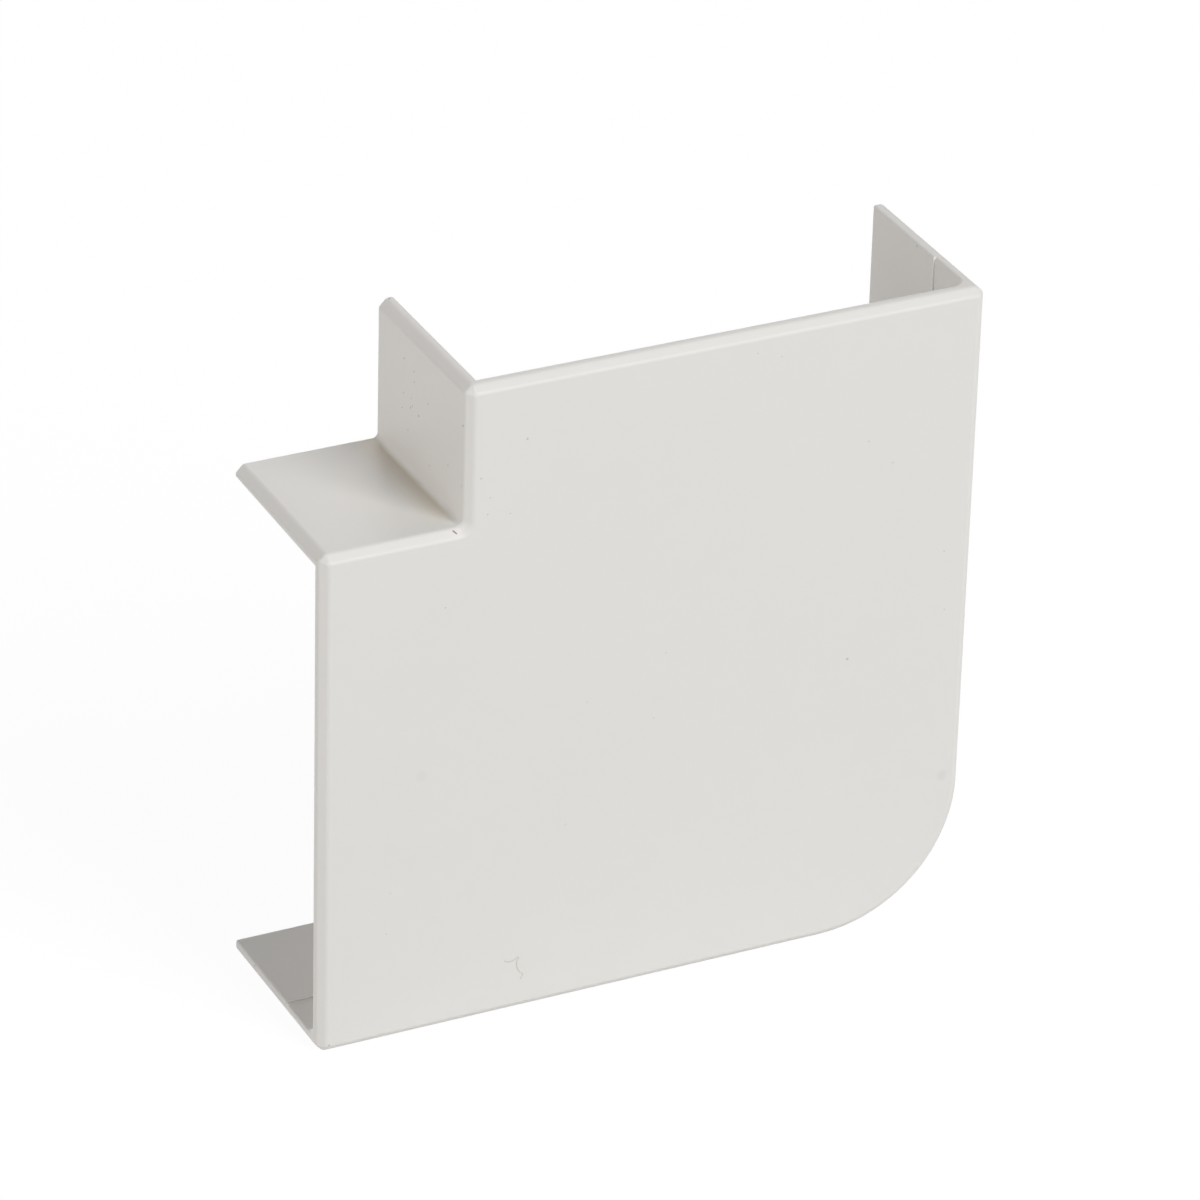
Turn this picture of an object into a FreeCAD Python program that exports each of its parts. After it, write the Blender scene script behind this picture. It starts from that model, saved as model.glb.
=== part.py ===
import FreeCAD, Part
import math
import os
import Sketcher
from FreeCAD import Vector

# A flat 90 degree corner for mini trunking, moulded in one piece.
#
# It covers the place where two lengths of trunking meet on a wall. The flat L-shaped face lies over
# their lids, walls run back from the face along both arms, and the moulding is open at its two ends
# and at the back. A low ledge along the inside of the outer walls snaps in behind the sides of the
# lids. The two short walls that meet at the inner corner have no ledge.
#
# Frame: X runs along the horizontal arm and Z up the vertical arm. The face looks towards -Y and the
# open back towards +Y. The origin is under the middle of the moulding's box, where it stands.

# Driving sizes in millimetres: name, value, meaning.
SIZES = [
    ("lid_width", 41.5, "width of the trunking over the sides of its lid"),
    ("trunking_depth", 15.0, "depth of the trunking with its lid on"),
    ("side_clearance", 0.05, "room between each side of the lid and the wall beside it"),
    ("depth_clearance", 0.25, "room between the lid and the back of the face"),
    ("wall_thickness", 1.25, "thickness of the walls between the face and the ledge"),
    ("face_thickness", 1.25, "thickness of the face"),
    ("arm_reach", 11.9, "length of each arm past the inner corner"),
    ("corner_radius", 11.9, "outside radius of the big rounded corner"),
    ("notch_radius", 0.45, "outside radius of the inner corner, where the two arms meet"),
    ("edge_bevel", 0.65, "bevel round the face and down the walls at the open ends"),
    ("bevel_round", 0.45, "rounding along both edges of the bevel"),
    ("inside_fillet", 1.1, "fillet between the back of the face and the outer walls"),
    ("lid_side", 5.05, "height of the lid's sides, from the back of the face to the ledge"),
    ("ledge_step", 0.12, "how far the ledge stands in from the outer walls"),
    ("shelf_tip", 1.05, "thickness at the back of the wall over the horizontal arm, which thins to it"),
    ("rim_round", 0.2, "rounding of the sharp edges of the open ends and of the back"),
    ("end_overrun", 2.0, "how far the channel's cutting outlines run out past the open ends"),
]

# Sizes that follow from the driving ones: outside width of an arm, length over both arms, depth.
WIDTH = "(Sizes.lid_width + 2 * Sizes.side_clearance + 2 * Sizes.wall_thickness)"
LENGTH = f"({WIDTH} + Sizes.arm_reach)"
DEPTH = "(Sizes.trunking_depth + Sizes.depth_clearance + Sizes.face_thickness)"

NODE = "trunking_corner"
TOLERANCE = 1e-4
START, END = 1, 2


def make_sheet(doc):
    """The spreadsheet of driving sizes, one row for each."""
    sheet = doc.addObject("Spreadsheet::Sheet", "Sizes")
    for row, (name, value, meaning) in enumerate(SIZES, start=1):
        sheet.set(f"A{row}", name)
        sheet.set(f"B{row}", str(value))
        sheet.set(f"C{row}", meaning)
        sheet.setAlias(f"B{row}", name)
    doc.recompute()
    return sheet


def quarter_arc(centre_x, centre_z, radius):
    """A quarter circle from straight below its centre round to its right."""
    circle = Part.Circle(Vector(centre_x, centre_z, 0), Vector(0, 0, 1), radius)
    return Part.ArcOfCircle(circle, -math.pi / 2, 0)


def l_sketch(body, name, behind_middle, inset, notch_inset, overrun):
    """An L outline seen from the front, lying inside the moulding's outside by its insets.

    The rest are expressions: how far the outline's plane lies behind the middle of the depth, how far
    the outline lies inside the outer walls and inside the walls of the notch, and how far its ends lie
    outside the open ends.
    """
    sketch = body.newObject("Sketcher::SketchObject", name)
    plane = next(item for item in body.Origin.OriginFeatures if item.Role == "XZ_Plane")
    sketch.AttachmentSupport = [(plane, "")]
    sketch.MapMode = "FlatFace"
    sketch.setExpression(".AttachmentOffset.Base.z", f"-({behind_middle})")

    # A first shape for the outline, which the constraints then bring to size.
    half, width, big = 28.0, 44.0, 11.0
    top = 2 * half
    notch = half - width

    def line(x0, z0, x1, z1):
        return sketch.addGeometry(Part.LineSegment(Vector(x0, z0, 0), Vector(x1, z1, 0)))

    bottom_side = line(-half, 0, half - big, 0)
    big_corner = sketch.addGeometry(quarter_arc(half - big, big, big))
    right_side = line(half, big, half, top)
    top_end = line(half, top, notch, top)
    notch_side = line(notch, top, notch, width)
    notch_shelf = line(notch, width, -half, width)
    left_end = line(-half, width, -half, 0)

    for level in (bottom_side, top_end, notch_shelf):
        sketch.addConstraint(Sketcher.Constraint("Horizontal", level))
    for upright in (right_side, notch_side, left_end):
        sketch.addConstraint(Sketcher.Constraint("Vertical", upright))
    for corner in (
        (right_side, END, top_end, START),
        (top_end, END, notch_side, START),
        (notch_side, END, notch_shelf, START),
        (notch_shelf, END, left_end, START),
        (left_end, END, bottom_side, START),
    ):
        sketch.addConstraint(Sketcher.Constraint("Coincident", *corner))
    for smooth in (
        (bottom_side, END, big_corner, START),
        (big_corner, END, right_side, START),
    ):
        sketch.addConstraint(Sketcher.Constraint("Tangent", *smooth))

    middle = (-1, START)
    arm = f"{WIDTH} - {inset} - {notch_inset}"
    for label, terms, value, size in (
        ("bottom_height", ("DistanceY", *middle, bottom_side, START), 1.0, inset),
        ("right_from_middle", ("DistanceX", *middle, right_side, END), half, f"{LENGTH} / 2 - {inset}"),
        ("top_height", ("DistanceY", *middle, top_end, END), top, f"{LENGTH} + {overrun}"),
        ("left_from_middle", ("DistanceX", left_end, END, *middle), half, f"{LENGTH} / 2 + {overrun}"),
        ("vertical_arm", ("DistanceX", notch_side, START, right_side, END), width, arm),
        ("horizontal_arm", ("DistanceY", bottom_side, START, left_end, START), width, arm),
        ("big_radius", ("Radius", big_corner), big, f"Sizes.corner_radius - {inset}"),
    ):
        index = sketch.addConstraint(Sketcher.Constraint(*terms, value))
        sketch.renameConstraint(index, label)
        sketch.setExpression(f"Constraints.{label}", size)
    return sketch


def extrude(body, kind, name, profile, length):
    """A pad or a pocket of a profile: a pad runs back from it, and a pocket runs forward from it."""
    feature = body.newObject(kind, name)
    feature.Profile = profile
    feature.Reversed = True
    feature.setExpression("Length", length)
    feature.Document.recompute()
    return feature


def dress(body, kind, name, base, test, amount, size):
    """A chamfer or a fillet on every edge of the base feature that passes a test."""
    names = [f"Edge{n}" for n, edge in enumerate(base.Shape.Edges, start=1) if test(edge)]
    feature = body.newObject(kind, name)
    feature.Base = (base, names)
    feature.setExpression(amount, size)
    feature.Document.recompute()
    return feature


def lean(body, name, base, leaning, staying, angle):
    """A draft: one face of the base feature leans, and turns where it meets a face that stays."""
    def face_name(test):
        return next(f"Face{n}" for n, face in enumerate(base.Shape.Faces, start=1) if test(face))

    feature = body.newObject("PartDesign::Draft", name)
    feature.Document.recompute()
    feature.Base = (base, [face_name(leaning)])
    feature.NeutralPlane = (base, [face_name(staying)])
    feature.setExpression("Angle", angle)
    feature.Document.recompute()
    return feature


def lies_at(piece, axis, value):
    """Whether an edge or a face lies in the plane where one coordinate has the given value."""
    box = piece.BoundBox
    low, high = {"x": (box.XMin, box.XMax), "y": (box.YMin, box.YMax), "z": (box.ZMin, box.ZMax)}[axis]
    return abs(low - value) < TOLERANCE and abs(high - value) < TOLERANCE


def is_sharp(shape, edge):
    """Whether the two faces that meet in the edge turn by more than about 20 degrees there."""
    faces = shape.ancestorsOfType(edge, Part.Face)
    if len(faces) != 2:
        return False
    middle = edge.valueAt((edge.FirstParameter + edge.LastParameter) / 2)
    normals = [face.normalAt(*face.Surface.parameter(middle)) for face in faces]
    return normals[0].dot(normals[1]) < math.cos(math.radians(20))


def check_cut(name, before, after, expected):
    """The cut has taken away the volume that its sizes say."""
    removed = before.Shape.Volume - after.Shape.Volume
    print(f"{name}: {removed:.2f} mm3 removed, {expected:.2f} expected")
    if abs(removed - expected) > 0.01 * expected:
        raise ValueError(f"the {name} has not cut what its sizes say")


def build_moulding(doc, sheet):
    """The moulding, from its solid block to its last rounding."""
    wall = sheet.wall_thickness
    width = sheet.lid_width + 2 * (sheet.side_clearance + wall)
    length = width + sheet.arm_reach
    depth = sheet.trunking_depth + sheet.depth_clearance + sheet.face_thickness
    front, back = -depth / 2, depth / 2
    left, right = -length / 2, length / 2
    notch_side = right - width
    back_of_face = front + sheet.face_thickness

    body = doc.addObject("PartDesign::Body", NODE)
    body.Label = NODE

    def on_open_end(edge):
        return lies_at(edge, "x", left) or lies_at(edge, "z", length)

    def on_back(edge):
        return lies_at(edge, "y", back)

    def on_notch_walls(edge, inset):
        return lies_at(edge, "x", notch_side + inset) or lies_at(edge, "z", width - inset)

    # The block: the L outline of the face, carried back by the whole depth.
    outline = l_sketch(body, "face_outline", f"-{DEPTH} / 2", "0", "0", "0")
    block = extrude(body, "PartDesign::Pad", "block", outline, DEPTH)
    rounded = dress(
        body, "PartDesign::Fillet", "notch_rounding", block,
        lambda edge: lies_at(edge, "x", notch_side) and lies_at(edge, "z", width),
        "Radius", "Sizes.notch_radius",
    )

    # The bevel runs round the face and down the outside of the walls at both open ends. Its edges
    # are softened.
    def outside_of_walls(edge):
        return on_open_end(edge) and (
            lies_at(edge, "z", 0) or lies_at(edge, "x", right) or on_notch_walls(edge, 0)
        )

    bevel = dress(
        body, "PartDesign::Chamfer", "bevel", rounded,
        lambda edge: lies_at(edge, "y", front) or outside_of_walls(edge), "Size", "Sizes.edge_bevel",
    )

    def along_bevel(edge):
        size = sheet.edge_bevel
        sides = (("y", front), ("y", front + size), ("x", left + size), ("z", length - size))
        beside = on_open_end(edge) or any(lies_at(edge, *side) for side in sides)
        return beside and not on_back(edge)

    softened = dress(
        body, "PartDesign::Fillet", "bevel_rounding", bevel, along_bevel, "Radius", "Sizes.bevel_round"
    )

    # The channel: from the back to the inside of the face, as wide as the ledge leaves it.
    ledge_inset = "(Sizes.wall_thickness + Sizes.ledge_step)"
    channel_outline = l_sketch(
        body, "channel_outline", f"{DEPTH} / 2", ledge_inset, "Sizes.wall_thickness", "Sizes.end_overrun"
    )
    channel = extrude(
        body, "PartDesign::Pocket", "channel", channel_outline, f"{DEPTH} - Sizes.face_thickness"
    )

    # The seat for the lids: the channel's full width, from the ledge to the inside of the face.
    seat_outline = l_sketch(
        body, "lid_seat_outline", f"(Sizes.face_thickness + Sizes.lid_side - {DEPTH} / 2)",
        "Sizes.wall_thickness", "Sizes.wall_thickness", "Sizes.end_overrun",
    )
    seat = extrude(body, "PartDesign::Pocket", "lid_seat", seat_outline, "Sizes.lid_side")

    def area_within(profile, inset):
        past_ends = 2 * sheet.end_overrun * (width - inset - wall)
        return Part.Face(profile.Shape.Wires[0]).Area - past_ends

    channel_area = area_within(channel_outline, wall + sheet.ledge_step)
    seat_area = area_within(seat_outline, wall)
    channel_depth = depth - sheet.face_thickness
    check_cut("channel", softened, channel, channel_area * channel_depth)
    check_cut("lid seat", channel, seat, (seat_area - channel_area) * sheet.lid_side)

    # The draft: the inside of the wall over the horizontal arm leans out towards the back.
    draft = lean(
        body, "shelf_draft", seat,
        lambda face: lies_at(face, "z", width - wall), lambda face: lies_at(face, "y", back_of_face),
        f"atan((Sizes.wall_thickness - Sizes.shelf_tip) / ({DEPTH} - Sizes.face_thickness))",
    )
    wedge = channel_depth * (wall - sheet.shelf_tip) / 2
    check_cut("shelf draft", seat, draft, wedge * (sheet.arm_reach + wall))

    # The fillet in the root of the outer walls, the rounding of the inner corner, and of the rim.
    root = dress(
        body, "PartDesign::Fillet", "root_fillet", draft,
        lambda edge: lies_at(edge, "y", back_of_face) and not on_open_end(edge)
        and not on_notch_walls(edge, wall), "Radius", "Sizes.inside_fillet",
    )
    turned = dress(
        body, "PartDesign::Fillet", "inner_corner", root,
        lambda edge: lies_at(edge, "x", notch_side + wall) and edge.BoundBox.YLength > channel_depth / 2
        and not on_open_end(edge), "Radius", "Sizes.notch_radius + Sizes.wall_thickness",
    )
    dress(
        body, "PartDesign::Fillet", "rim_rounding", turned,
        lambda edge: (on_open_end(edge) or on_back(edge)) and is_sharp(turned.Shape, edge),
        "Radius", "Sizes.rim_round",
    )
    return body


def check_document(doc, body):
    """Every feature has been made, and the moulding is one sound solid."""
    for item in doc.Objects:
        if {"Invalid", "Error"} & set(item.State):
            raise ValueError(f"{item.Name} has failed: {item.State}")
    shape = body.Shape
    if shape.isNull() or not shape.isValid() or len(shape.Solids) != 1:
        raise ValueError(f"{body.Label} is not one sound solid")


def main():
    """Builds the moulding, checks it and writes it out."""
    doc = FreeCAD.newDocument(NODE)
    sheet = make_sheet(doc)
    body = build_moulding(doc, sheet)
    doc.recompute()
    check_document(doc, body)

    solid = body.Shape.Solids[0]
    box, centre = solid.optimalBoundingBox(), solid.CenterOfMass
    print(f"{body.Label}: {box.XLength:.2f} x {box.YLength:.2f} x {box.ZLength:.2f} mm")
    print(f"{solid.Volume:.1f} mm3 in {len(solid.Faces)} faces")
    print(f"centre of mass {centre.x:.2f}, {centre.y:.2f}, {centre.z:.2f}")
    os.makedirs("parts", exist_ok=True)
    body.Shape.exportStep(f"parts/{body.Label}.step")


main()
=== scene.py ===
"""Finishes a trunking corner, one white plastic moulding, and sets it in a plain pale studio."""

import math

import bpy
from mathutils import Matrix, Vector


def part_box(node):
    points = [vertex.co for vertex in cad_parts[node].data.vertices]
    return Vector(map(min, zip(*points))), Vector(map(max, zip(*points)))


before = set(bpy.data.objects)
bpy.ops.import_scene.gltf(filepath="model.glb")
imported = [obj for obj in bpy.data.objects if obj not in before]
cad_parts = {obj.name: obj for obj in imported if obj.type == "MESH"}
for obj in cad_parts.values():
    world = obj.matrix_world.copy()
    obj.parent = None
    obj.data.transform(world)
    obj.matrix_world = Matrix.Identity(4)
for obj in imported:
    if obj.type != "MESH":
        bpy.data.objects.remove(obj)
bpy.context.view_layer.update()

bl_info = {
    "name": "Trunking Corner",
    "version": (1, 0, 0),
    "blender": (4, 5, 0),
    "location": "View3D > Sidebar > Trunking",
    "description": "Finishes a moulded trunking corner and sets it in a plain pale studio",
    "category": "Object",
}

MOULDING = "trunking_corner"
MM = 0.001
WHITE = (1.0, 1.0, 1.0)
X_WAY = (1.0, 0.0, 0.0)
Y_WAY = (0.0, 1.0, 0.0)
Z_WAY = (0.0, 0.0, 1.0)

# The moulding's planes, read from the frame, in metres
LOW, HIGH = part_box(MOULDING)
FACE_Y = LOW.y
MIDDLE = (LOW + HIGH) / 2

# Places and sizes in millimetres, as the materials use them. The marks of the face reach a little way
# behind it, and all lengths from here down to the lights are in millimetres too.
FRONT = FACE_Y / MM
FACE_REACH = 0.08
NOTCH = 11.9
NOTCH_X = LOW.x / MM + NOTCH
NOTCH_Z = HIGH.z / MM - NOTCH
OUTER_RADIUS = 11.9

# The painted warm shade in the crease where the two short walls meet: how far it reaches from the crease,
# how far behind the face it starts and is full, where it fades out inside the walls and on the rounded
# foot of the upright wall, and what is left of it above the foot
CREASE_REACH = 3.2
CREASE_START = 0.7
CREASE_FULL = 3.8
CREASE_INTO_WALL = (0.1, 0.3)
CREASE_UP_FOOT = (0.02, 0.15)
CREASE_ABOVE_FOOT = 0.1

# Painted light along the ledge inside the outer walls, lifting the shade at its step and just before it:
# where the ledge is behind the face, the half width of its painted edge, and how far the painted lighter
# zone reaches towards the face. Inwards from the outside of the wall, the zone begins over the first span
# and ends over the second.
LEDGE_Y = FRONT + 6.3
LEDGE_EDGE = (0.02, 0.05)
LEDGE_ZONE = 0.5
LEDGE_BEGINS = (1.05, 1.2)
LEDGE_ENDS = (1.7, 2.2)

# Pinhead specks in the plastic of the face: place along X and up Z, radius
FACE_SPECKS = (
    (-11.1, 50.8, 0.09),
    (-14.9, 48.2, 0.07),
    (-14.1, 46.4, 0.05),
    (-14.3, 45.0, 0.06),
    (-12.4, 44.7, 0.05),
    (10.3, 53.5, 0.05),
    (8.2, 54.2, 0.05),
    (18.2, 44.6, 0.06),
    (20.4, 42.3, 0.06),
    (25.4, 33.4, 0.06),
    (25.7, 28.1, 0.06),
    (1.2, 29.6, 0.05),
    (0.3, 24.0, 0.05),
    (-5.5, 26.7, 0.05),
    (-7.1, 16.1, 0.05),
    (-17.7, 37.7, 0.06),
    (-22.3, 9.8, 0.05),
    (-22.0, 13.4, 0.05),
    (17.2, 25.5, 0.11),
)
# Soft round smudges on the face: place along X and up Z, radius, share of the full tone
FACE_SMUDGES = (
    (-19.5, 23.3, 0.42, 0.5),
    (26.3, 12.8, 0.42, 1.0),
)
# Specks away from the face: place along X, along Y and up Z, radius. Most are on the outside of the
# short upright wall, and the last ones are on the ends of the outer walls.
EDGE_SPECKS = (
    (-16.1, 3.31, 53.18, 0.08),
    (-16.1, 1.46, 52.92, 0.07),
    (-16.1, 1.38, 52.04, 0.07),
    (-16.1, 3.37, 50.22, 0.07),
    (-16.1, 1.92, 50.39, 0.06),
    (-16.1, 2.05, 49.56, 0.09),
    (-16.1, 1.69, 49.84, 0.08),
    (-16.1, 3.57, 48.84, 0.07),
    (-16.1, -1.18, 51.41, 0.07),
    (-16.1, 0.52, 49.56, 0.10),
    (-16.1, 2.46, 47.46, 0.06),
    (-16.1, -1.55, 46.31, 0.06),
    (-16.1, -4.88, 47.95, 0.07),
    (-16.1, -7.31, 47.34, 0.06),
    (-16.1, -7.43, 52.53, 0.09),
    (-15.3, 7.9, 56.0, 0.10),
    (-27.1, -8.25, 0.81, 0.07),
    (-26.8, -8.1, 0.6, 0.07),
    (-27.2, -8.1, 0.5, 0.05),
    (-28.0, 4.36, 1.09, 0.09),
    (26.63, 0.82, 55.7, 0.08),
)
# A fine curled fibre caught on the face: first its height Z at places along X, as far as its hook,
# and then its place X on the way down Z
FIBRE_REACH = (
    (-12.14, 4.94),
    (-11.95, 4.72),
    (-11.65, 4.65),
    (-11.30, 4.74),
    (-11.00, 4.93),
)
FIBRE_TAIL = (
    (2.82, -10.71),
    (2.98, -10.66),
    (3.19, -10.53),
    (3.54, -10.82),
    (4.17, -11.05),
    (4.55, -11.05),
    (4.80, -10.91),
    (4.93, -11.00),
)
# A reddish fleck on the bevel beside the inner corner: its two ends, and how far from the run between
# them it starts to fade and is gone
FLECK = ((-16.94, -7.78, 43.92), (-16.74, -7.96, 43.74))
FLECK_FADE = (0.02, 0.08)

# How strongly each kind of mark colours the plastic
SMUDGE_TONE = 0.11
SPECK_TONE = 0.5
EDGE_SPECK_TONE = 0.75
FIBRE_TONE = 0.6

# How softly specks and smudges end, as a share of their radius
SPECK_SOFTNESS = 0.5
SMUDGE_SOFTNESS = 0.6

# How high the fibre and the fleck stand out, and how much rougher a smudge is
FIBRE_HEIGHT = 0.02
FLECK_HEIGHT = 0.01
SMUDGE_ROUGHNESS = 0.05

# The plastic's unevenness: its width, and how much it changes the tone or the roughness
CLOUD_WIDTH = 16.0
CLOUD_TONE = 0.020
MOTTLE_WIDTH = 2.4
MOTTLE_TONE = 0.012
RUB_WIDTH = 5.0
RUB_ROUGHNESS = 0.08

# How strongly light bends in the plastic, which sets its gloss
PLASTIC_IOR = 1.5

# The soft lights: the setting that holds the power, azimuth from straight in front towards the right
# and elevation, both in degrees, side of the square in metres, and whether it has the fill colour
SOFT_LIGHTS = (
    ("key", 20, 36, 1.1, False),
    ("side", -96, 9, 1.1, True),
    ("back", 165, 8, 0.8, True),
    ("high", 150, 45, 0.8, True),
)

# Width of the camera's sensor, in millimetres
SENSOR_WIDTH = 36.0


class PlasticFinish(bpy.types.PropertyGroup):
    """The colour and the surface of the moulded white plastic."""

    colour: bpy.props.FloatVectorProperty(
        name="Colour", description="Colour of the plastic", subtype="COLOR", size=3,
        min=0.0, max=1.0, default=(0.757, 0.744, 0.716))
    roughness: bpy.props.FloatProperty(
        name="Roughness", description="How far the satin surface spreads a reflection",
        subtype="FACTOR", min=0.0, max=1.0, default=0.5)
    grain: bpy.props.FloatProperty(
        name="Grain", description="Width of the fine grain that the mould leaves",
        unit="LENGTH", subtype="DISTANCE", min=0.00002, default=0.00018)
    grain_depth: bpy.props.FloatProperty(
        name="Grain depth", description="Height of the fine grain",
        unit="LENGTH", subtype="DISTANCE", min=0.0, default=0.0000012)
    wave: bpy.props.FloatProperty(
        name="Wave", description="Width of the slow waves left by the plastic's shrinking",
        unit="LENGTH", subtype="DISTANCE", min=0.0005, default=0.007)
    wave_depth: bpy.props.FloatProperty(
        name="Wave depth", description="Height of the slow waves",
        unit="LENGTH", subtype="DISTANCE", min=0.0, default=0.000004)
    speck_colour: bpy.props.FloatVectorProperty(
        name="Speck colour", description="Colour of the specks in the plastic",
        subtype="COLOR", size=3, min=0.0, max=1.0, default=(0.36, 0.33, 0.29))
    # Painted shade: this warm, darker colour stands in for the shade in the crease of the inner corner
    crease_painted_shade: bpy.props.FloatVectorProperty(
        name="Crease tint", description="How the plastic yellows in the crease of the inner corner",
        subtype="COLOR", size=3, min=0.0, max=1.0, default=(1.0, 0.945, 0.85))
    # Painted light: how much paler the ledge's edge is drawn, lifting the shade at the step inside the
    # walls
    ledge_painted_light: bpy.props.FloatProperty(
        name="Ledge tint", description="How much paler the worn edge of the inside ledge is",
        min=1.0, max=1.3, default=1.25)
    fibre_colour: bpy.props.FloatVectorProperty(
        name="Fibre colour", description="Colour of the fibre on the face",
        subtype="COLOR", size=3, min=0.0, max=1.0, default=(0.50, 0.45, 0.38))
    fibre_width: bpy.props.FloatProperty(
        name="Fibre width", description="Thickness of the fibre on the face",
        unit="LENGTH", subtype="DISTANCE", min=0.0, default=0.00008)
    fleck_colour: bpy.props.FloatVectorProperty(
        name="Fleck colour", description="Colour of the fleck at the inner corner",
        subtype="COLOR", size=3, min=0.0, max=1.0, default=(0.20, 0.06, 0.04))


class Studio(bpy.types.PropertyGroup):
    """The camera, the floor and the lights."""

    lens: bpy.props.FloatProperty(
        name="Lens", description="Focal length on a 36 mm sensor", unit="CAMERA",
        min=1.0, default=208.28)
    azimuth: bpy.props.FloatProperty(
        name="Azimuth", description="How far the camera stands to the left of straight on",
        subtype="ANGLE", default=math.radians(26.427))
    elevation: bpy.props.FloatProperty(
        name="Elevation", description="How far the camera looks down",
        subtype="ANGLE", default=math.radians(28.879))
    roll: bpy.props.FloatProperty(
        name="Roll", description="How far the camera leans",
        subtype="ANGLE", default=math.radians(1.587))
    distance: bpy.props.FloatProperty(
        name="Distance", description="From the camera to the face",
        unit="LENGTH", subtype="DISTANCE", min=0.05, default=0.5324)
    aim_x: bpy.props.FloatProperty(
        name="Aim across", description="Where on the face the camera looks, along X",
        unit="LENGTH", subtype="DISTANCE", default=-0.00464)
    aim_z: bpy.props.FloatProperty(
        name="Aim up", description="Where on the face the camera looks, up Z",
        unit="LENGTH", subtype="DISTANCE", default=0.03554)
    floor_size: bpy.props.FloatProperty(
        name="Floor size", description="Side of the square floor",
        unit="LENGTH", subtype="DISTANCE", min=0.1, default=4.0)
    floor_colour: bpy.props.FloatVectorProperty(
        name="Floor colour", description="Colour of the floor", subtype="COLOR", size=3,
        min=0.0, max=1.0, default=(0.80, 0.80, 0.80))
    shadow_share: bpy.props.FloatProperty(
        name="Shadow share", description="How much of the floor's shade the camera sees",
        subtype="FACTOR", min=0.0, max=1.0, default=0.10)
    floor_white: bpy.props.FloatProperty(
        name="Floor white", description="Strength at which the camera sees the unshaded floor as white",
        min=0.0, default=1.05)
    surround: bpy.props.FloatProperty(
        name="Surround", description="Strength of the even light from all round",
        min=0.0, default=0.137)
    light_distance: bpy.props.FloatProperty(
        name="Light distance", description="From the middle of the object to each light",
        unit="LENGTH", subtype="DISTANCE", min=0.1, default=2.2)
    key: bpy.props.FloatProperty(
        name="Key light", description="Power of the large soft light in front, on the right",
        unit="POWER", min=0.0, default=37.9)
    side: bpy.props.FloatProperty(
        name="Side light", description="Power of the soft light on the left",
        unit="POWER", min=0.0, default=21.1)
    back: bpy.props.FloatProperty(
        name="Back light", description="Power of the low soft light behind",
        unit="POWER", min=0.0, default=7.0)
    high: bpy.props.FloatProperty(
        name="High light", description="Power of the high soft light behind, on the right",
        unit="POWER", min=0.0, default=3.9)
    fill_colour: bpy.props.FloatVectorProperty(
        name="Fill colour", description="Colour of the side light and the two lights behind",
        subtype="COLOR", size=3, min=0.0, max=1.0, default=(1.0, 0.97, 0.95))


class Wire:
    """A node's output. Sums and products of wires and numbers add Math nodes."""

    def __init__(self, tree, output=None):
        self.tree = tree
        self.output = output

    def node(self, kind, settings=None, inputs=None, output=0):
        """Adds a node: its settings first, a curve's bends among them, then a value or a wire for
        each input."""
        made = self.tree.nodes.new(kind)
        for name, value in (settings or {}).items():
            if name == "bends":
                curve = made.mapping.curves[0].points
                curve[0].location, curve[1].location = value[0], value[-1]
                for bend in value[1:-1]:
                    curve.new(*bend)
                made.mapping.update()
            else:
                setattr(made, name, value)
        for name, value in (inputs or {}).items():
            if isinstance(value, Wire):
                self.tree.links.new(value.output, made.inputs[name])
            else:
                made.inputs[name].default_value = value
        return Wire(self.tree, made.outputs[output] if made.outputs else None)

    def beside(self, name):
        """Another output of the same node."""
        return Wire(self.tree, self.output.node.outputs[name])

    def math(self, operation, *values, clamp=False):
        """One Math node."""
        settings = {"operation": operation, "use_clamp": clamp}
        return self.node("ShaderNodeMath", settings, dict(enumerate(values)))

    def vector(self, operation, *values):
        """One Vector Math node. A length, distance or dot product comes out as a number."""
        numbers = ("LENGTH", "DISTANCE", "DOT_PRODUCT")
        output = "Value" if operation in numbers else "Vector"
        inputs = dict(enumerate(values))
        if operation == "SCALE":
            inputs = {0: values[0], "Scale": values[1]}
        return self.node("ShaderNodeVectorMath", {"operation": operation}, inputs, output)

    def along(self, way):
        """The dot product with a way. Where its length is 1, this is how far a place lies along it."""
        return self.vector("DOT_PRODUCT", self, way)

    def __add__(self, other):
        return self.math("ADD", self, other)

    def __radd__(self, other):
        return self.math("ADD", other, self)

    def __sub__(self, other):
        return self.math("SUBTRACT", self, other)

    def __rsub__(self, other):
        return self.math("SUBTRACT", other, self)

    def __mul__(self, other):
        return self.math("MULTIPLY", self, other)

    def __rmul__(self, other):
        return self.math("MULTIPLY", other, self)

    def __or__(self, other):
        """Where either mask is."""
        return self.math("MAXIMUM", self, other)


def colour4(colour):
    """A colour with its alpha."""
    return (*colour, 1.0)


def fade(wire, full, none):
    """1 where wire is at full, 0 where it is at none, and smooth between."""
    return wire.node("ShaderNodeMapRange", {"interpolation_type": "SMOOTHSTEP"}, {
        "Value": wire, "From Min": none, "From Max": full, "To Min": 0.0, "To Max": 1.0})


def noise(place, width, detail, roughness=0.5):
    """Smooth noise from 0 to 1 with bumps of about a width, both in millimetres."""
    return place.node("ShaderNodeTexNoise", {"noise_dimensions": "3D"}, {
        "Vector": place, "Scale": 1.0 / width, "Detail": detail, "Roughness": roughness})


def mix_colour(wire, amount, base, other, blend="MIX"):
    """base where amount is 0 and other where it is 1."""
    settings = {"data_type": "RGBA", "blend_type": blend}
    inputs = {"Factor": amount, 6: base, 7: other}
    return wire.node("ShaderNodeMix", settings, inputs, 2)


def disc(place, centre, radius, softness):
    """A round mask. softness is the share of the radius over which it fades."""
    distance = place.vector("DISTANCE", place, centre)
    return fade(distance, radius * (1 - softness), radius * (1 + softness))


def discs(place, centres, softness):
    """One mask for several discs, each given as a centre and a radius."""
    mask = 0.0
    for centre, radius in centres:
        mask = disc(place, centre, radius, softness) + mask
    return mask


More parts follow.
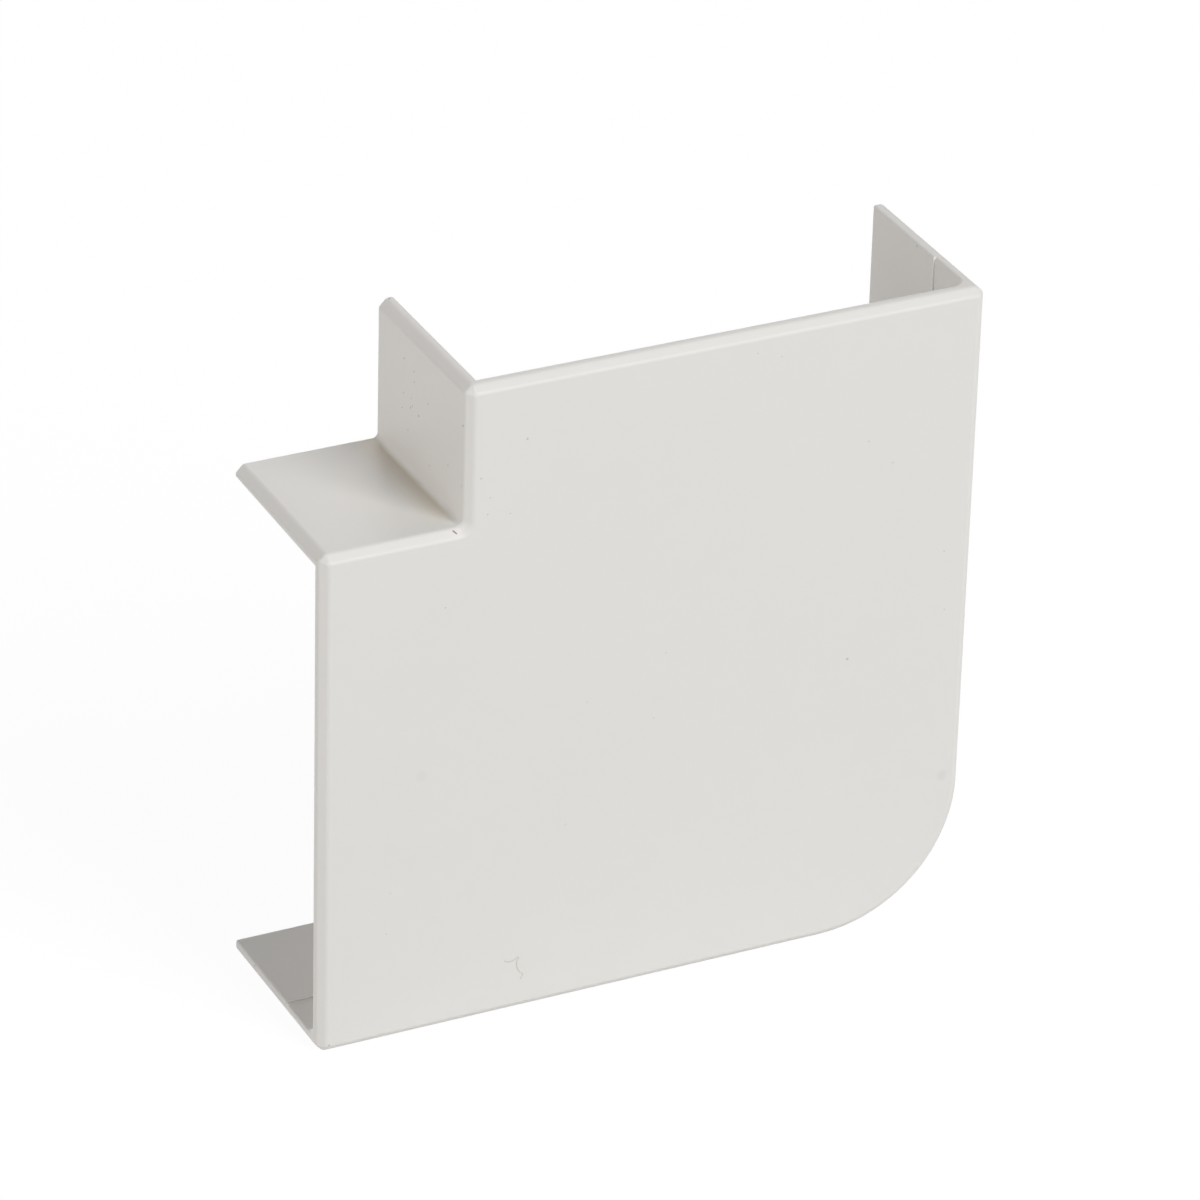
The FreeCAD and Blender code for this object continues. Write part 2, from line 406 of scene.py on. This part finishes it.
def distance_to_run(place, start, end):
    """How far place is from the straight run between two points."""
    run = end - start
    from_start = place.vector("SUBTRACT", place, start)
    share = from_start.along(run / run.length_squared)
    share = place.math("MULTIPLY", share, 1.0, clamp=True)
    reached = place.vector("SCALE", run, share)
    return place.vector("DISTANCE", from_start, reached)


def along_curve(along, across, bends, half_width):
    """A mask of a thin line that runs smoothly through its bends, given as places along and across."""
    first, last = bends[0][0], bends[-1][0]
    low = min(value for _, value in bends)
    high = max(value for _, value in bends)
    unit = [((a - first) / (last - first), (b - low) / (high - low)) for a, b in bends]
    share = (along - first) * (1.0 / (last - first))
    line = share.node("ShaderNodeFloatCurve", {"bends": unit}, {"Value": share})
    gap = across.math("ABSOLUTE", across - (line * (high - low) + low))
    on_line = fade(gap, half_width * 0.5, half_width * 1.5)
    begun = fade(along, first, first - half_width)
    ended = fade(along, last, last + half_width)
    return on_line * begun * ended


def face_marks(place, finish):
    """Masks of the face's specks, its smudges and its fibre."""
    face = fade(place.along(Y_WAY), FRONT + FACE_REACH, FRONT + 2 * FACE_REACH)
    flat = place.vector("MULTIPLY", place, (1.0, 0.0, 1.0))
    centres = [(Vector((x, 0.0, z)), radius) for x, z, radius in FACE_SPECKS]
    specks = discs(flat, centres, SPECK_SOFTNESS)
    smudges = 0.0
    for x, z, radius, share in FACE_SMUDGES:
        smudges = disc(flat, Vector((x, 0.0, z)), radius, SMUDGE_SOFTNESS) * share + smudges
    across, up = place.along(X_WAY), place.along(Z_WAY)
    half = finish.fibre_width / MM / 2
    fibre = along_curve(across, up, FIBRE_REACH, half) | along_curve(up, across, FIBRE_TAIL, half)
    return specks * face, smudges * face, fibre * face


def edge_specks(place):
    """A mask of the specks away from the face."""
    centres = [(Vector((x, y, z)), radius) for x, y, z, radius in EDGE_SPECKS]
    return discs(place, centres, SPECK_SOFTNESS)


def corner_fleck(place):
    """A mask of the fleck beside the inner corner."""
    full, none = FLECK_FADE
    return fade(distance_to_run(place, *(Vector(end) for end in FLECK)), full, none)


def painted_crease_mask(place):
    """A mask of the painted warm shade in the crease where the two short walls meet: on the outside of the
    wall below it, hardly on the upright wall, and not on the bevel."""
    flat = place.vector("MULTIPLY", place, (1.0, 0.0, 1.0))
    crease = fade(place.vector("DISTANCE", flat, (NOTCH_X, 0.0, NOTCH_Z)), 0.0, CREASE_REACH)
    x, y, z = place.along(X_WAY), place.along(Y_WAY), place.along(Z_WAY)
    full, none = CREASE_INTO_WALL
    outside = fade(x, NOTCH_X + full, NOTCH_X + none) * fade(z, NOTCH_Z - full, NOTCH_Z - none)
    foot, top = CREASE_UP_FOOT
    below = fade(z, NOTCH_Z + foot, NOTCH_Z + top) * (1.0 - CREASE_ABOVE_FOOT) + CREASE_ABOVE_FOOT
    behind = fade(y, FRONT + CREASE_FULL, FRONT + CREASE_START)
    return crease * outside * below * behind


def painted_ledge_mask(place):
    """A mask of the painted light at the edge of the ledge inside the outer walls, which lifts the shade
    at the step. Low on the part it reaches further towards the face, fading."""
    out = place.vector("MULTIPLY_ADD", place, (1.0, 0.0, -1.0), Vector((
        OUTER_RADIUS - HIGH.x / MM, 0.0, OUTER_RADIUS + LOW.z / MM)))
    reach = place.vector("LENGTH", out.vector("MAXIMUM", out, (0.0, 0.0, 0.0)))
    begins = [OUTER_RADIUS - depth for depth in LEDGE_BEGINS]
    ends = [OUTER_RADIUS - depth for depth in LEDGE_ENDS]
    inside = fade(reach, begins[1], begins[0]) * fade(reach, ends[0], ends[1])
    y, z = place.along(Y_WAY), place.along(Z_WAY)
    before = fade(y, LEDGE_Y, LEDGE_Y - LEDGE_ZONE)
    low = fade(z, LOW.z / MM + OUTER_RADIUS, LOW.z / MM + 3 * OUTER_RADIUS)
    full, none = LEDGE_EDGE
    edge = fade(y, LEDGE_Y - full, LEDGE_Y - none)
    behind = fade(y, LEDGE_Y + full, LEDGE_Y + none)
    return inside * (before * before * low | edge) * behind


def plain_tone(place, finish):
    """The plastic's colour, faintly uneven."""
    cloud = noise(place, CLOUD_WIDTH, 3.0)
    mottle = noise(place, MOTTLE_WIDTH, 4.0)
    tone = (cloud - 0.5) * CLOUD_TONE + (mottle - 0.5) * MOTTLE_TONE + 1.0
    return mix_colour(tone, 1.0, colour4(finish.colour), tone, "MULTIPLY")


def moulded_surface(place, finish, raised):
    """The bump of fine grain over slow waves, and of what lies on the surface."""
    grain = noise(place, finish.grain / MM, 3.0, 0.6)
    wave = noise(place, finish.wave / MM, 1.0)
    height = grain * (finish.grain_depth / MM) + wave * (finish.wave_depth / MM) + raised
    return height.node("ShaderNodeBump", None, {
        "Strength": 1.0, "Distance": MM, "Height": height})


def white_plastic(finish):
    """Satin white plastic: faint uneven tone, fine grain, specks and the caught fibre."""
    material = bpy.data.materials.new("white_plastic_finish")
    material.use_nodes = True
    tree = material.node_tree
    tree.nodes.clear()
    metres = Wire(tree).node("ShaderNodeTexCoord", output="Object")
    place = metres.vector("SCALE", metres, 1 / MM)
    specks, smudges, fibre = face_marks(place, finish)
    specks = specks * SPECK_TONE + edge_specks(place) * EDGE_SPECK_TONE
    fleck = corner_fleck(place)

    # The colour: painted light at the ledge, painted warm shade in the crease, then the marks on top
    base = plain_tone(place, finish)
    # Painted light: the ledge's edge is made paler where shade falls at the step
    paler = painted_ledge_mask(place) * (finish.ledge_painted_light - 1.0) + 1.0
    base = mix_colour(base, 1.0, base, paler, "MULTIPLY")
    # Painted shade: the crease of the inner corner is made warmer and darker
    base = mix_colour(base, painted_crease_mask(place), base, colour4(finish.crease_painted_shade), "MULTIPLY")
    base = mix_colour(base, smudges * SMUDGE_TONE, base, colour4(finish.speck_colour))
    base = mix_colour(base, specks, base, colour4(finish.speck_colour))
    base = mix_colour(base, fibre * FIBRE_TONE, base, colour4(finish.fibre_colour))
    base = mix_colour(base, fleck, base, colour4(finish.fleck_colour))

    # Satin gloss, a little uneven
    rub = noise(place, RUB_WIDTH, 4.0)
    roughness = (rub - 0.5) * RUB_ROUGHNESS + finish.roughness + smudges * SMUDGE_ROUGHNESS

    surface = moulded_surface(place, finish, fibre * FIBRE_HEIGHT + fleck * FLECK_HEIGHT)
    shader = base.node("ShaderNodeBsdfPrincipled", None, {
        "Base Color": base, "Roughness": roughness, "Normal": surface, "IOR": PLASTIC_IOR})
    shader.node("ShaderNodeOutputMaterial", None, {"Surface": shader})
    return material


class TRUNKING_OT_finish_moulding(bpy.types.Operator):
    """Gives the one-piece moulding its satin white plastic"""

    bl_idname = "trunking.finish_moulding"
    bl_label = "Finish moulding"

    def execute(self, context):
        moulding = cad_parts[MOULDING]
        moulding.material_slots[0].material = white_plastic(context.scene.plastic_finish)
        return {"FINISHED"}


def camera_sees(start):
    """1 for rays whose background shows: straight to the camera, mirrored or let through."""
    path = start.node("ShaderNodeLightPath")
    seen = 0.0
    for ray in ("Is Camera Ray", "Is Glossy Ray", "Is Transmission Ray"):
        seen = path.beside(ray) + seen
    return start.math("MULTIPLY", seen, 1.0, clamp=True)


def pale_floor(studio):
    """A floor that lights the object as pale card and shows as white with a faint shadow."""
    material = bpy.data.materials.new("pale_floor")
    material.use_nodes = True
    tree = material.node_tree
    tree.nodes.clear()
    start = Wire(tree)
    card = start.node("ShaderNodeBsdfDiffuse", None, {"Color": colour4(studio.floor_colour)})
    white = start.node("ShaderNodeEmission", None, {
        "Color": colour4(WHITE), "Strength": studio.floor_white})
    shown = start.node("ShaderNodeMixShader", None, {
        0: studio.shadow_share, 1: white, 2: card})
    seen = start.node("ShaderNodeMixShader", None, {0: camera_sees(start), 1: card, 2: shown})
    below = start.node("ShaderNodeNewGeometry", output="Backfacing")
    clear = start.node("ShaderNodeBsdfTransparent")
    surface = start.node("ShaderNodeMixShader", None, {0: below, 1: seen, 2: clear})
    surface.node("ShaderNodeOutputMaterial", None, {"Surface": surface})
    return material


def white_surround(studio):
    """A world that lights evenly and shows as white."""
    world = bpy.data.worlds.new("white_surround")
    world.use_nodes = True
    tree = world.node_tree
    tree.nodes.clear()
    start = Wire(tree)
    seen = camera_sees(start)
    strength = seen * (1.0 - studio.surround) + studio.surround
    light = start.node("ShaderNodeBackground", None, {
        "Color": colour4(WHITE), "Strength": strength})
    light.node("ShaderNodeOutputWorld", None, {"Surface": light})
    return world


def add_soft_light(name, azimuth, elevation, distance, size, power, colour):
    """A square lamp that points at the middle of the object. Its azimuth runs from straight in front
    towards the right, and both angles are in degrees."""
    lamp = bpy.data.lights.new(name, "AREA")
    lamp.shape = "SQUARE"
    lamp.size = size
    lamp.energy = power
    lamp.color = colour
    across, up = math.radians(azimuth), math.radians(elevation)
    way = Vector((
        math.sin(across) * math.cos(up), -math.cos(across) * math.cos(up), math.sin(up)))
    turn = (-way).to_track_quat("-Z", "Y").to_matrix().to_4x4()
    holder = bpy.data.objects.new(name, lamp)
    holder.matrix_world = Matrix.Translation(MIDDLE + way * distance) @ turn
    bpy.context.scene.collection.objects.link(holder)


def add_camera(studio):
    """The camera, from its two angles, its lean and its distance from the face."""
    data = bpy.data.cameras.new("camera")
    data.sensor_width = SENSOR_WIDTH
    data.lens = studio.lens
    data.clip_start = 0.01
    data.clip_end = 20.0
    forward = Vector((
        math.sin(studio.azimuth) * math.cos(studio.elevation),
        math.cos(studio.azimuth) * math.cos(studio.elevation),
        -math.sin(studio.elevation)))
    level = Vector((math.cos(studio.azimuth), -math.sin(studio.azimuth), 0.0))
    right = Matrix.Rotation(-studio.roll, 3, forward) @ level
    up = right.cross(forward)
    aim = Vector((studio.aim_x, FACE_Y, studio.aim_z))
    turn = Matrix((right, up, -forward)).transposed().to_4x4()
    camera = bpy.data.objects.new("camera", data)
    camera.matrix_world = Matrix.Translation(aim - forward * studio.distance) @ turn
    bpy.context.scene.collection.objects.link(camera)
    bpy.context.scene.camera = camera


class TRUNKING_OT_set_stage(bpy.types.Operator):
    """Adds the floor, the surround, the soft lights and the camera"""

    bl_idname = "trunking.set_stage"
    bl_label = "Set stage"

    def execute(self, context):
        studio = context.scene.studio
        bpy.ops.mesh.primitive_plane_add(size=studio.floor_size, location=(0.0, 0.0, LOW.z))
        floor = context.object
        floor.name = "floor"
        floor.data.materials.append(pale_floor(studio))
        context.scene.world = white_surround(studio)
        for name, azimuth, elevation, size, is_fill in SOFT_LIGHTS:
            colour = studio.fill_colour if is_fill else WHITE
            power = getattr(studio, name)
            add_soft_light(f"{name}_light", azimuth, elevation, studio.light_distance, size, power, colour)
        add_camera(studio)
        context.scene.view_settings.view_transform = "Standard"
        return {"FINISHED"}


class TRUNKING_PT_panel(bpy.types.Panel):
    """Lists the finish, the stage and their settings"""

    bl_idname = "TRUNKING_PT_panel"
    bl_label = "Trunking corner"
    bl_space_type = "VIEW_3D"
    bl_region_type = "UI"
    bl_category = "Trunking"

    def draw(self, context):
        steps = (
            (TRUNKING_OT_finish_moulding, context.scene.plastic_finish),
            (TRUNKING_OT_set_stage, context.scene.studio),
        )
        for operator, settings in steps:
            box = self.layout.box()
            for name in settings.__annotations__:
                box.prop(settings, name)
            box.operator(operator.bl_idname)


CLASSES = (
    PlasticFinish,
    Studio,
    TRUNKING_OT_finish_moulding,
    TRUNKING_OT_set_stage,
    TRUNKING_PT_panel,
)


def register():
    for each in CLASSES:
        bpy.utils.register_class(each)
    bpy.types.Scene.plastic_finish = bpy.props.PointerProperty(type=PlasticFinish)
    bpy.types.Scene.studio = bpy.props.PointerProperty(type=Studio)


def unregister():
    del bpy.types.Scene.studio
    del bpy.types.Scene.plastic_finish
    for each in reversed(CLASSES):
        bpy.utils.unregister_class(each)


def main():
    """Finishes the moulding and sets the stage."""
    register()
    bpy.ops.trunking.finish_moulding()
    bpy.ops.trunking.set_stage()


if __name__ == "__main__":
    main()
